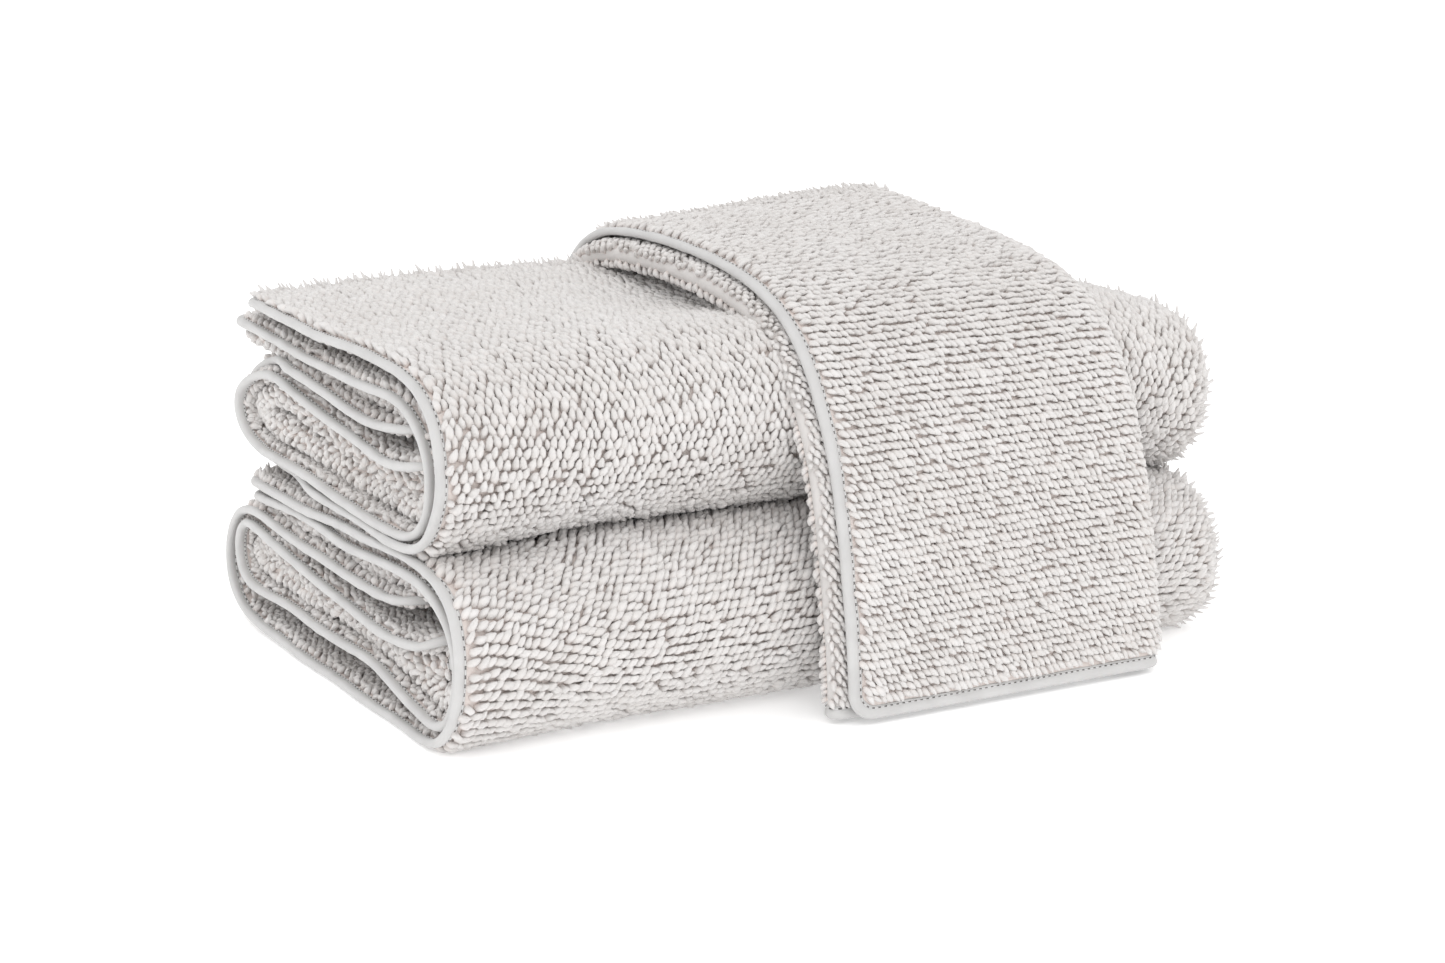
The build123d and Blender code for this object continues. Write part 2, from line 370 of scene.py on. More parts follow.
# The rings of one stitch: places along it in pitches, height off the tape, radius, and
# how deep in its needle hole each lies, which the thread's material shows as painted shade.
STITCH_STEPS = np.array([-0.47, -0.3, -0.22, 0.22, 0.3, 0.47]) * STITCH_PITCH
STITCH_LIFT = np.array([-0.05, 0.0, 0.12, 0.12, 0.0, -0.05])
STITCH_WIDE = np.array([0.34, 0.36, 0.34, 0.34, 0.36, 0.34])
STITCH_HOLE_SHADE = np.array([1, 1, 0, 0, 1, 1])


def stitch_piece(name, cloth, material, seam):
    """The binding's seam: one short stitch after another, on both faces."""
    path, inwards = perimeter(cloth, STITCH_PITCH)
    path = path + inwards * seam
    closed = np.vstack([path, path[:1]])
    run = arc_lengths(closed)
    count = int(run[-1] / STITCH_PITCH)
    spots = (np.arange(count)[:, None] + 0.5) * STITCH_PITCH + STITCH_STEPS[None, :]
    spots = np.clip(spots, 0, run[-1])
    u = np.interp(spots, run, closed[:, 0])
    v = np.interp(spots, run, closed[:, 1])
    place, normal, _, _ = cloth.at(u, v)
    parts = []
    for side in (1, -1):
        centres = place + normal * side * (SEAM_HALF + STITCH_LIFT)[None, :, None]
        ahead = unit(np.gradient(centres, axis=1))
        sides = unit(np.cross(ahead, normal * side))
        ups = np.cross(sides, ahead)
        parts.append(tube(centres, sides, ups, np.tile(STITCH_WIDE, (count, 1)), STITCH_SIDES))
    faces = tube_faces(len(STITCH_STEPS), STITCH_SIDES)
    return many_tubes(name, np.vstack(parts), faces, material, {"depth": STITCH_HOLE_SHADE})


# --- pile ----------------------------------------------------------------------------
# The rings of one loop: its middle line from root to tip, as (forwards, up), its radius,
# and the value of the height layer, which the material reads to paint shade at the root.
LOOP_PATH = np.array([(-1.3, -0.4), (-1.1, 0.85), (-0.25, 1.8), (1.0, 2.3), (2.6, 2.6)])
LOOP_WIDE = np.array([1.25, 1.6, 1.68, 1.45, 0.5])
LOOP_SIDES = 6
LOOP_FACES = tube_faces(len(LOOP_PATH), LOOP_SIDES)
SHADE_HEIGHT_LAYER = np.array([0.0, 0.35, 0.8, 1.0, 0.9])
TWIST_STEP = 1.1           # turn of the oval from one ring to the next
TWIST_DEPTH = 0.13
FLOOR_GAP = 0.05           # nothing hangs lower than this


def pile_spots(u_range, v_range, side, pile, keep):
    """Rows and columns of loops over a stretch of the sheet, a little uneven, as (u, v,
    side). side is 1 for the outer face and -1 for the inner one."""
    pitch_u, pitch_v = pile.pitch_u, pile.pitch_v
    columns = np.arange(u_range[0] + pitch_u / 2, u_range[1], pitch_u)
    rows = np.arange(v_range[0] + pitch_v / 2, v_range[1], pitch_v)
    u, v = np.meshgrid(columns, rows, indexing="ij")
    stagger = (np.arange(len(rows)) * pile.slip + rng.normal(0, ROW_STRAY, len(rows))) % 1.0 - 0.5
    stagger = stagger[None, :] * pitch_u
    # Whole areas drift slowly, and each loop strays a little on its own.
    drift_u, drift_v = 0.6 * waves(u, v, 45, 31), 0.3 * waves(u, v, 55, 32)
    u = u + drift_u + stagger + rng.normal(0, STRAY_U * pitch_u, u.shape)
    v = v + drift_v + rng.normal(0, STRAY_V * pitch_v, v.shape)
    u, v = u.ravel(), v.ravel()
    kept = keep(u, v)
    u, v = u[kept], v[kept]
    return np.stack([u, v, np.full(len(u), side)], axis=1)


def inside_tape(cloth, seam):
    """Keeps the pile clear of the tape along the towel's edge."""
    reach = seam * TAPE_LIP + 0.1
    low_u, high_u = cloth.u[0] + reach, cloth.u[-1] - reach
    low_v, high_v = cloth.v[0] + reach, cloth.v[-1] - reach

    def keep(u, v):
        return (u > low_u) & (u < high_u) & (v > low_v) & (v < high_v)

    return keep


def twisted(centres, rings, start):
    """The rings of each loop squeezed to a turning oval, like two twisted strands."""
    turn = np.linspace(0, 2 * np.pi, rings.shape[2], endpoint=False)
    phase = start[:, None, None] + np.arange(rings.shape[1])[None, :, None] * TWIST_STEP
    swell = 1 + TWIST_DEPTH * np.sin(2 * turn[None, None, :] + phase)
    return centres[:, :, None] + (rings - centres[:, :, None]) * swell[..., None]


def steady(angle):
    """A lean that stays the same all along the cloth."""
    return (angle, angle, 0, 1)


def ruffled_share(place, normal):
    """The share of loops that stand up: more at the folded ends and on level cloth."""
    at_end = ease((place[:, 0] - END_FROM) / END_OVER)
    on_level = ease((normal[:, 2] - 0.9) / 0.1)
    return RUFFLED + RUFFLED_END * at_end + RUFFLED_LEVEL * on_level


def one_pile(name, cloth, spots, lean, body, pile, spread):
    """One piece of pile. lean is the loops' direction on the cloth in degrees, as (first,
    last, start, end): it turns from first to last between v = start and v = end."""
    u, v, side = spots.T
    place, normal, across, along = cloth.at(u, v)
    normal = normal * side[:, None]
    count = len(u)
    first, last, start, end = lean
    swing = ease((v - start) / (end - start))
    angle = np.radians(first + (last - first) * swing) + rng.normal(0, spread, count)
    towards = unit(across * np.cos(angle)[:, None] + along * np.sin(angle)[:, None])
    towards = unit(towards - normal * np.sum(towards * normal, axis=1, keepdims=True))
    across_loop = np.cross(normal, towards)
    steep = rng.normal(pile.steep, STEEP_STRAY, count)
    ruffled = rng.random(count) < ruffled_share(place, normal)
    steep = steep + np.where(ruffled, RUFFLED_LIFT, 0.0)
    size = pile.size * rng.normal(1.0, SIZE_STRAY, count)
    wide = pile.width * rng.normal(1.0, WIDTH_STRAY, count)
    cos, sin = np.cos(steep)[:, None], np.sin(steep)[:, None]
    x = (LOOP_PATH[None, :, 0] * cos - LOOP_PATH[None, :, 1] * sin) * size[:, None]
    z = (LOOP_PATH[None, :, 0] * sin + LOOP_PATH[None, :, 1] * cos) * size[:, None]
    base = place + normal * (GROUND / 2)
    centres = base[:, None] + towards[:, None] * x[..., None] + normal[:, None] * z[..., None]
    ahead = unit(np.gradient(centres, axis=1))
    sides = np.repeat(across_loop[:, None], len(LOOP_PATH), axis=1)
    ups = np.cross(ahead, sides)
    radii = LOOP_WIDE[None, :] * (size * wide)[:, None]
    rings = tube(centres, sides, ups, radii, LOOP_SIDES)
    rings = twisted(centres, rings, rng.uniform(0, RANDOM_TURN, count))
    rings[..., 2] = np.maximum(rings[..., 2], FLOOR_GAP)
    tones = rng.random(count)
    piece = many_tubes(name, rings, LOOP_FACES, PILE, {"height": SHADE_HEIGHT_LAYER}, tones)
    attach(piece, body)
    return piece


def pile_pieces(name, cloth, spots, lean, body, pile, spread=0.2):
    """Loops at the spots, split into pieces of a workable size. spread is how far the
    loops stray from their lean, in radians."""
    pieces = []
    parts = int(np.ceil(len(spots) / LOOPS_PER_PIECE))
    for number, some in enumerate(np.array_split(spots, parts)):
        piece_name = name if parts == 1 else f"{name}_{number + 1}"
        pieces.append(one_pile(piece_name, cloth, some, lean, body, pile, spread))
    return pieces


# --- materials -----------------------------------------------------------------------
def new_material(name, rough, sheen, sheen_rough):
    """A cloth material with its nodes, links and shader."""
    material = bpy.data.materials.new(name)
    material.use_nodes = True
    nodes = material.node_tree.nodes
    shader = nodes["Principled BSDF"]
    shader.inputs["Roughness"].default_value = rough
    shader.inputs["Sheen Weight"].default_value = sheen
    shader.inputs["Sheen Roughness"].default_value = sheen_rough
    shader.inputs["Specular IOR Level"].default_value = 0.25
    return material, nodes, material.node_tree.links, shader


def add_node(nodes, kind, **values):
    node = nodes.new(kind)
    for key, value in values.items():
        setattr(node, key, value)
    return node


def attribute(nodes, layer):
    """The value of one of the mesh's own layers."""
    return add_node(nodes, "ShaderNodeAttribute", attribute_name=layer).outputs["Fac"]


def colour_ramp(nodes, stops):
    ramp = nodes.new("ShaderNodeValToRGB")
    ramp.color_ramp.elements[0].position = stops[0][0]
    ramp.color_ramp.elements[0].color = (*stops[0][1], 1)
    ramp.color_ramp.elements[1].position = stops[-1][0]
    ramp.color_ramp.elements[1].color = (*stops[-1][1], 1)
    for place, colour in stops[1:-1]:
        ramp.color_ramp.elements.new(place).color = (*colour, 1)
    return ramp


def multiply(nodes, links, first, second):
    mix = add_node(nodes, "ShaderNodeMix", data_type="RGBA", blend_type="MULTIPLY")
    mix.inputs["Factor"].default_value = 1.0
    links.new(first, mix.inputs["A"])
    links.new(second, mix.inputs["B"])
    return mix.outputs["Result"]


def noise(nodes, links, where, scale, detail=3.0):
    node = nodes.new("ShaderNodeTexNoise")
    node.inputs["Scale"].default_value = scale
    node.inputs["Detail"].default_value = detail
    links.new(where, node.inputs["Vector"])
    return node.outputs["Fac"]


def add_bump(nodes, links, shader, height, strength, distance):
    bump = nodes.new("ShaderNodeBump")
    bump.inputs["Strength"].default_value = strength
    bump.inputs["Distance"].default_value = distance
    links.new(height, bump.inputs["Height"])
    links.new(bump.outputs["Normal"], shader.inputs["Normal"])


def pile_material():
    """Cotton loops: painted shade, warm and darker, at the root, near white on top, each a tone apart at
    random.
    """
    material, nodes, links, shader = new_material("cotton_pile", 0.88, 0.25, 0.45)
    shader.inputs["Base Color"].default_value = (0.8, 0.78, 0.765, 1)
    where = nodes.new("ShaderNodeTexCoord").outputs["Object"]
    # Painted shade: the loops are warmer towards the root, as in the shade between them.
    ramp = colour_ramp(nodes, [
        (0.0, (0.85, 0.765, 0.725)), (0.35, (0.81, 0.765, 0.742)), (1.0, (0.783, 0.765, 0.755)),
    ])
    links.new(attribute(nodes, "height"), ramp.inputs["Fac"])
    shade = colour_ramp(nodes, [(0.0, (0.93, 0.925, 0.92)), (1.0, (1.0, 1.0, 1.0))])
    links.new(attribute(nodes, "tone"), shade.inputs["Fac"])
    colour = multiply(nodes, links, ramp.outputs["Color"], shade.outputs["Color"])
    patches = colour_ramp(nodes, [(0.35, (0.97, 0.965, 0.96)), (0.65, (1.0, 1.0, 1.0))])
    links.new(noise(nodes, links, where, 28.0), patches.inputs["Fac"])
    colour = multiply(nodes, links, colour, patches.outputs["Color"])
    links.new(colour, shader.inputs["Base Color"])
    add_bump(nodes, links, shader, noise(nodes, links, where, 1500.0, 4.0), 0.5, 0.0006)
    return material


def ground_material():
    """The woven ground under the loops, painted darker and warmer as the shade between them, and its bare
    strip along the drape's fold.
    """
    material, nodes, links, shader = new_material("cotton_ground", 0.92, 0.1, 0.5)
    # Painted shade, here and in the ramp below: the ground shows only between the loops, so it is darker
    # and warmer than they are, with a random tone over it.
    shader.inputs["Base Color"].default_value = (0.62, 0.58, 0.56, 1)
    where = nodes.new("ShaderNodeTexCoord").outputs["Object"]
    ramp = colour_ramp(nodes, [(0.3, (0.74, 0.665, 0.63)), (0.7, (0.8, 0.735, 0.705))])
    links.new(noise(nodes, links, where, 700.0), ramp.inputs["Fac"])
    # Along the bare fold strip a greyer colour takes the place of this painted shade.
    mix = add_node(nodes, "ShaderNodeMix", data_type="RGBA")
    links.new(attribute(nodes, "bare"), mix.inputs["Factor"])
    links.new(ramp.outputs["Color"], mix.inputs["A"])
    mix.inputs["B"].default_value = (0.7, 0.675, 0.66, 1)
    links.new(mix.outputs["Result"], shader.inputs["Base Color"])
    add_bump(nodes, links, shader, noise(nodes, links, where, 1800.0), 0.6, 0.0004)
    return material


WEAVE_PACE = 11.0          # radians of the tape's weave in a millimetre


def tape_material():
    """Plain woven tape: neutral pale grey, with a fine diagonal weave."""
    material, nodes, links, shader = new_material("binding_tape", 0.72, 0.2, 0.4)
    shader.inputs["Base Color"].default_value = (0.61, 0.603, 0.597, 1)
    where = nodes.new("ShaderNodeTexCoord").outputs["Object"]
    ramp = colour_ramp(nodes, [(0.35, (0.59, 0.583, 0.577)), (0.65, (0.635, 0.628, 0.622))])
    links.new(noise(nodes, links, where, 90.0), ramp.inputs["Fac"])
    links.new(ramp.outputs["Color"], shader.inputs["Base Color"])
    run, across = attribute(nodes, "run"), attribute(nodes, "across")
    waves_of_weave = []
    for sign in (1.0, -1.0):
        diagonal = add_node(nodes, "ShaderNodeMath", operation="MULTIPLY_ADD")
        links.new(across, diagonal.inputs[0])
        diagonal.inputs[1].default_value = sign
        links.new(run, diagonal.inputs[2])
        pace = add_node(nodes, "ShaderNodeMath", operation="MULTIPLY")
        links.new(diagonal.outputs[0], pace.inputs[0])
        pace.inputs[1].default_value = WEAVE_PACE
        wave = add_node(nodes, "ShaderNodeMath", operation="SINE")
        links.new(pace.outputs[0], wave.inputs[0])
        waves_of_weave.append(wave.outputs[0])
    weave = add_node(nodes, "ShaderNodeMath", operation="ADD")
    links.new(waves_of_weave[0], weave.inputs[0])
    links.new(waves_of_weave[1], weave.inputs[1])
    add_bump(nodes, links, shader, weave.outputs[0], 0.25, 0.0001)
    return material


def thread_material():
    """Sewing thread, with painted shade, near black, where each stitch goes down into its needle hole."""
    material, nodes, links, shader = new_material("sewing_thread", 0.6, 0.1, 0.4)
    shader.inputs["Base Color"].default_value = (0.7, 0.7, 0.69, 1)
    # Painted shade of the needle holes: the ends of each stitch darken to near black.
    ramp = colour_ramp(nodes, [(0.45, (0.66, 0.655, 0.65)), (1.0, (0.16, 0.15, 0.145))])
    links.new(attribute(nodes, "depth"), ramp.inputs["Fac"])
    links.new(ramp.outputs["Color"], shader.inputs["Base Color"])
    return material


PILE = pile_material()
WEAVE = ground_material()
TAPE = tape_material()
THREAD = thread_material()


# --- folded plies --------------------------------------------------------------------
def fold_turn(middle, reach, first, last, steps):
    """The turn of a fold from one ply to another: X out from its middle to its reach and
    back, and the depth in plies."""
    angle = np.linspace(0, np.pi, steps + 1)[1:]
    return middle + reach * np.sin(angle), (first + last) / 2 + (first - last) / 2 * np.cos(angle)


def distance_across(x, depth):
    """How far across the unfolded cloth each step of X and depth lies."""
    return np.concatenate([[0.0], np.cumsum(np.hypot(np.diff(x), np.diff(depth) * PLY))])


def fold_middles(x, depth, u, closed_depth):
    """Distances across the cloth at which its right fold and its closed left fold have
    their middles. closed_depth is the depth of the left one, in plies."""
    off_left = np.abs(depth - closed_depth) + (x > 200) * 9   # keeps to the left half
    return u[np.argmax(x)], u[np.argmin(off_left)]


def between(plies, depth):
    """The side line at each depth, between the two plies next to it."""
    plies = np.array(plies)
    low = np.minimum(np.floor(depth).astype(int), len(plies) - 2)
    part = (depth - low)[:, None, None]
    return plies[low] * (1 - part) + plies[low + 1] * part


def cloth_and_edging(body, cloth, seam, seed, bare_at=NOWHERE):
    """A towel's ground, tape and stitching, each in place of its CAD node."""
    ground = ground_piece(f"{body}_ground", cloth, WEAVE, bare_at)
    tape = tape_piece(f"{body}_tape", cloth, TAPE, seam, seed)
    stitching = stitch_piece(f"{body}_seam", cloth, THREAD, seam)
    for piece, slot, node in (
        (ground, "terry_cloth", "terry"),
        (tape, "edge_tape", "binding"),
        (stitching, "sewing_thread", "stitching"),
    ):
        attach(piece, body)
        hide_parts(f"{body}_{node}")
    return ground, [tape, stitching]


# --- bath towels ---------------------------------------------------------------------
# Side lines of the two bound plies at the left end, as (Y, Z): along the top run to the
# front fold, under, round the back fold and into the middle run.
LOWER_OUTER = [
    [(209, 65.2), (186, 65.4), (140, 66.2), (100, 68), (63, 69.2)],
    [(44, 69.8), (27.6, 69.4), (13.8, 67.2), (3.7, 62.3), (-1.8, 55.5), (-4.2, 47), (-4.4, 38),
     (-2.6, 28.5), (1.2, 19.6), (7, 11.6), (15.7, 5.2), (27, 2.6)],
    [(60, 2.2), (110, 2.2), (162, 2.8), (203, 4.4)],
    [(220, 8), (231.5, 14.6), (235.6, 23), (235, 32), (230, 40.4), (221, 47.6), (208, 51.6)],
    [(196, 52.4), (168, 49.6), (129, 49.8), (97, 48.8), (66, 48.9), (46, 51.8)],
]
LOWER_INNER = [
    [(206, 59), (188, 60.3), (165, 61.4), (140, 62), (109, 60.9), (77, 61.8)],
    [(44, 63.8), (28.6, 63.5), (16.6, 60), (8, 54), (3.4, 46.5), (1.6, 38), (2.8, 29), (6, 20.5),
     (11.5, 13.4), (21, 10.2)],
    [(36.8, 11.8), (51, 14), (80, 19), (111, 18.6), (144, 19.2), (178, 18.4), (195, 18.4)],
    [(210, 20.2), (220, 25), (223.6, 32), (221, 39.6), (212, 45)],
    [(201, 45.6), (169, 42.4), (150, 40.4), (118, 36.9), (86, 35), (57, 35.1), (33, 37.9), (21, 43)],
]
UPPER_OUTER = [
    [(207.5, 140.6), (186, 142), (155, 141.6), (126, 141), (87, 141.7), (66, 141)],
    [(50.7, 140), (36, 137.2), (24, 132.5), (15.7, 127), (11, 120.5), (8.4, 113), (8, 106), (10, 98.8),
     (14.4, 91.4), (21, 83.6), (29.6, 77.4), (41, 74.4)],
    [(75, 73.8), (110, 74), (150, 75), (190, 76)],
    [(205, 78), (215, 84), (219.6, 93), (217.5, 102), (211, 109.5), (203, 114)],
    [(192, 118), (179, 120.4), (162, 121.4), (144, 121.4), (120, 119), (95, 116.6), (70, 116.2),
     (52, 118), (38, 119.8)],
]
UPPER_INNER = [
    [(221, 131.4), (196, 131), (147, 129.4), (107, 129.4), (69, 130)],
    [(55, 129.8), (42.4, 127), (32, 122), (25, 116.4), (21.2, 109.6), (20.8, 101.5), (23, 94),
     (28.6, 86.5), (36, 80.8), (47, 77.6)],
    [(62, 77.4), (76, 77.6), (107, 78.6), (139, 80), (172, 81), (190, 81)],
    [(202, 82.6), (211, 87.5), (214.4, 95), (211.5, 102.5), (203.5, 108.4)],
    [(195, 111.6), (182, 114), (148, 111.4), (117, 107.9), (86, 106), (56, 104.2), (26, 108.6)],
]
RUN_COUNTS = (46, 34, 42, 22, 42)
RUN_MARKS = np.concatenate([[0], np.cumsum(RUN_COUNTS)])
# How closely the closed folds are pressed against the inner bound ply at the left end,
# at the start of each run and at the end of the last.
PRESSED = (0.58, 0.62, 0.95, 1.0, 1.0, 0.95)
CALM_FROM = 85.0           # the uneven left end has died out this far in
CLOSED_BACK = 9.5          # how far the closed fold lies back from the bound end


def roll_line(runs):
    """A spiral side line, sampled with a set number of points in each run."""
    points = []
    marks = [0]
    for run in runs:
        points += run
        marks.append(len(points) - 1)
    line, length, at_points = smooth_line(points)
    wanted = []
    for k, count in enumerate(RUN_COUNTS):
        last = k == len(RUN_COUNTS) - 1
        start, end = at_points[marks[k]], at_points[marks[k + 1]]
        wanted.append(np.linspace(start, end, count + last, endpoint=last))
    return at_lengths(line, length, np.concatenate(wanted))


def calm_line(front, back, top_end, base, inner_end):
    """The same spiral away from the left end, where the layers lie close and even: from
    the end of the top run at Y = top_end to the end of the middle run at inner_end."""
    depth = PLY / 2
    high = 3 * LAYER
    top = base + high - depth
    low = base + depth
    middle = base + 2 * LAYER - depth
    front_at = front + high / 2
    back_at = back - LAYER
    radius = high / 2 - depth
    turn = np.radians(np.linspace(90, 270, 11))
    bend = [(front_at + radius * np.cos(a), base + high / 2 + radius * np.sin(a)) for a in turn]
    small = LAYER - depth
    turn = np.radians(np.linspace(-90, 90, 9))
    hook = [(back_at + small * np.cos(a), base + LAYER + small * np.sin(a)) for a in turn]
    runs = [
        [(top_end, top - 1.5), (150, top), (100, top), bend[0]],
        bend[1:],
        [(80, low), (130, low), hook[0]],
        hook[1:],
        [(150, middle), (100, middle), (inner_end, middle)],
    ]
    return roll_line(runs)


def crosswise():
    """Where each step across the cloth lies: ply by ply from the outer bound edge, with
    the turns of the folds. Returns X, the depth in plies, and the distance across."""
    outer_turn, inner_turn, left_turn = 1.5 * PLY, 0.5 * PLY, 0.5 * PLY
    # Steps along a ply, finest near the bound end, where the shape changes fastest.
    near = np.array([0, 1.5, 3, 4.5, 6, 7.5, 9.5, 12, 15, 18.5, 23, 28, 34, 41, 50, 60, 72, 86])
    far = np.arange(102, LENGTH - 14, 15.5)
    to_outer = np.concatenate([near, far, [LENGTH - 13, LENGTH - outer_turn]])
    to_inner = np.concatenate([near, far, [LENGTH - 13, LENGTH - outer_turn - 1]])
    start = CLOSED_BACK + left_turn
    past_start = to_inner[to_inner > start]
    back = past_start[past_start < LENGTH - outer_turn - 0.5][::-1]
    stretches = [
        (to_outer, np.zeros(len(to_outer))),
        fold_turn(LENGTH - outer_turn, outer_turn, 0, 3, 12),
        (np.append(back, start), np.full(len(back) + 1, 3.0)),
        fold_turn(start, -left_turn, 3, 2, 8),
        (past_start, np.full(len(past_start), 2.0)),
        fold_turn(to_inner[-1], inner_turn, 2, 1, 6),
        (to_inner[:-1][::-1], np.ones(len(to_inner) - 1)),
    ]
    x, depth = np.hstack(stretches)
    return x, depth, distance_across(x, depth)


def bath_cloth(outer, inner, calm_outer, seed, sink, recess, hollow):
    """The whole cloth of one bath towel, quartered and rolled, as one surface. At the
    folded end its underside and its top sink by these much. recess draws the outer ply's
    back fold in, and hollow is a dip in the top beside the hand towel, as (X, Y, depth)."""
    bound = [roll_line(outer), roll_line(inner)]
    press = np.interp(np.arange(len(bound[0])), RUN_MARKS, PRESSED)
    ends = [bound[0], bound[1], inward(bound[1], PLY * press), inward(bound[1], 2 * PLY * press)]
    calm = [inward(calm_outer, k * PLY) for k in range(4)]
    x, depth, u = crosswise()
    v = arc_lengths(calm[0])
    calmed = ease(x / CALM_FROM)[:, None, None]
    places = np.zeros((len(x), len(v), 3))
    places[..., 0] = x[:, None]
    places[..., 1:] = between(ends, depth) * (1 - calmed) + between(calm, depth) * calmed

    # The cloth sways a little in height where it is loose, and its ends lie unevenly.
    grid_x, grid_v = np.meshgrid(x, v, indexing="ij")
    loose = np.clip((grid_x - 20) / 60, 0, 1)
    places[..., 2] += 0.8 * waves(grid_x, grid_v, 120, seed) * loose * np.sin(np.pi * grid_v / v[-1])
    places[..., 0] += 1.2 * waves(grid_v, depth[:, None] * 40 + 0 * grid_v, 70, seed + 5)

    # The folded end droops.
    low_z, high_z = calm_outer[:, 1].min(), calm_outer[:, 1].max()
    height = np.clip((places[..., 2] - low_z) / (high_z - low_z), 0, 1)
    places[..., 2] -= ease((grid_x - 286) / 74) * (sink[0] * (1 - height) + sink[1] * height)

    # The back fold is drawn in, from a few steps of the grid before it to a few past it.
    steps = np.arange(len(v))[None, :]
    on_back = ease((steps - RUN_MARKS[3] + 16) / 12) * ease((RUN_MARKS[4] + 14 - steps) / 12)
    outermost = np.clip(1 - depth, 0, 1)[:, None] * np.clip(1 - grid_x / 60, 0, 1)
    places[..., 0] += recess * on_back * outermost

    # The dip in the top, 34 wide in X and 62 in Y.
    dip_x, dip_y, dip = hollow
    away = ((grid_x - dip_x) / 34) ** 2 + ((places[..., 1] - dip_y) / 62) ** 2
    on_top = np.clip((height - 0.62) / 0.3, 0, 1)
    places[..., 2] -= dip * np.exp(-away) * on_top
    return Cloth(places, u, v, 1, fold_middles(x, depth, u, 2.5))


# How far the piles reach, in millimetres across or along the cloth.
PAST_FOLD = 20             # the outer face's pile goes on past the right fold
END_SEEN = 38              # before the right fold, all of the outer ply can be seen
FRONT_EARLY = 30           # the front is covered from this far before it starts
UNDER_SEEN = 22            # from the front and the back fold in under the towel
BACK_LATE = 14             # and this far past the back fold
HEM_OUT, HEM_IN = 28, 30   # the outer bound hem, on its outer and its inner face
INNER_HEM_OUT, INNER_HEM_IN = 30, 26
CLOSED_HALF = 13           # either side of the closed left fold
FRINGE_BEFORE, FRINGE_PAST = 13, 10
BACK_EDGE = 14             # along the top's back edge


def bath_towel(body, cloth, top_seen, lean):
    """One bath towel's pieces: its ground, and its tape, stitching and pile in a list.
    Its top shows from the back edge as far as v = top_seen, and the rest of the top only
    when the towel above it is lifted."""
    right_fold, left_fold = cloth.right_fold, cloth.left_fold
    total_u, all_v = cloth.u[-1], (0, cloth.v[-1])
    keep = inside_tape(cloth, BATH_SEAM)
    front_from, front_to, back_from, back_to = cloth.v[RUN_MARKS[1:5]]
    ground, pieces = cloth_and_edging(body, cloth, BATH_SEAM, 3)

    def seen_area(u, v):
        seen = (v < top_seen) | ((v > front_from - FRONT_EARLY) & (v < front_to + UNDER_SEEN))
        seen |= (v > back_from - UNDER_SEEN) & (v < back_to + BACK_LATE)
        seen |= u > right_fold - END_SEEN
        return keep(u, v) & seen

    def unseen_area(u, v):
        return keep(u, v) & ~seen_area(u, v)

    def add_pile(part, spots, pile, spread=0.2):
        pieces.extend(pile_pieces(f"{body}_{part}", cloth, spots, lean, body, pile, spread))

    spots = pile_spots((0, right_fold + PAST_FOLD), all_v, 1, BATH_PILE, seen_area)
    add_pile("pile", spots, BATH_PILE)
    curls = np.vstack([
        pile_spots((left_fold - CLOSED_HALF, left_fold + CLOSED_HALF), all_v, 1, END_PILE, keep),
        pile_spots((0, HEM_OUT), all_v, 1, END_PILE, unseen_area),
        pile_spots((0, HEM_IN), all_v, -1, END_PILE, keep),
        pile_spots((total_u - INNER_HEM_OUT, total_u), all_v, 1, END_PILE, keep),
        pile_spots((total_u - INNER_HEM_IN, total_u), all_v, -1, END_PILE, keep),
    ])
    # The columns run 2 past the covered part of the top, and unseen_area cuts them off.
    columns, rows = (HEM_OUT, right_fold - END_SEEN + 2), (0, front_from)
    covered = pile_spots(columns, rows, 1, COVERED_PILE, unseen_area)
    if len(covered):
        add_pile("covered", covered, COVERED_PILE)
    # The back edge's loops are set out at the crest's pitch, and are as long as the fringe's.
    fringe = np.vstack([
        pile_spots((right_fold - FRINGE_BEFORE, right_fold + FRINGE_PAST), all_v, 1, FRINGE_PILE, keep),
        pile_spots((0, right_fold - FRINGE_BEFORE), (0, BACK_EDGE), 1, CREST_PILE, keep),
    ])
    add_pile("fringe", fringe, FRINGE_PILE, 0.5)
    add_pile("curls", curls, END_PILE, 1.2)
    return ground, pieces


# --- hand towel ----------------------------------------------------------------------
DRAPE_LEFT, DRAPE_EDGE, DRAPE_RIGHT = 149.0, 152.0, 299.0
HAND_STEP = 3.6            # from one row of the grid to the next
HAND_LEAN = -48
CREST = (312, 352)         # the stretch along the cloth that goes over the crest
# Side lines of the outer ply at its two edges: front hem, over the stack, foot, tail.
DRAPE_LINE_LEFT = [
    (-31.4, 2.4), (-30.6, 18), (-28.8, 35), (-26, 52), (-20.5, 80), (-14, 102), (-6, 118),
    (2, 131), (12, 142), (25, 151.5), (41, 158), (58, 162), (80, 164.8), (112, 166.4), (140, 166),
    (165, 164), (180, 161), (193, 155.6), (203, 148.4), (212, 139), (219, 128), (226, 113),
    (234, 92), (241.6, 70), (247.6, 50), (252, 34), (257, 22), (266, 16.4), (279, 15.2),
    (310, 15), (380, 15), (480, 15),
]
DRAPE_LINE_RIGHT = [
    (-30, 2.4), (-28.4, 18), (-25.8, 35), (-22.4, 52), (-15.5, 80), (-8.5, 102), (-1, 117.5),
    (7, 129.2), (17, 139.2), (30, 147.2), (45, 152.8), (62, 156.8), (84, 159.8), (112, 162),
    (140, 164), (166, 165.8), (190, 166.4), (204, 163), (214, 155), (222, 145), (229, 131), (235, 113),
    (240.5, 92), (245.6, 70), (249.6, 50), (253, 34), (257.4, 22), (266, 16.4), (279, 15.2),
    (310, 15), (380, 15), (480, 15),
]


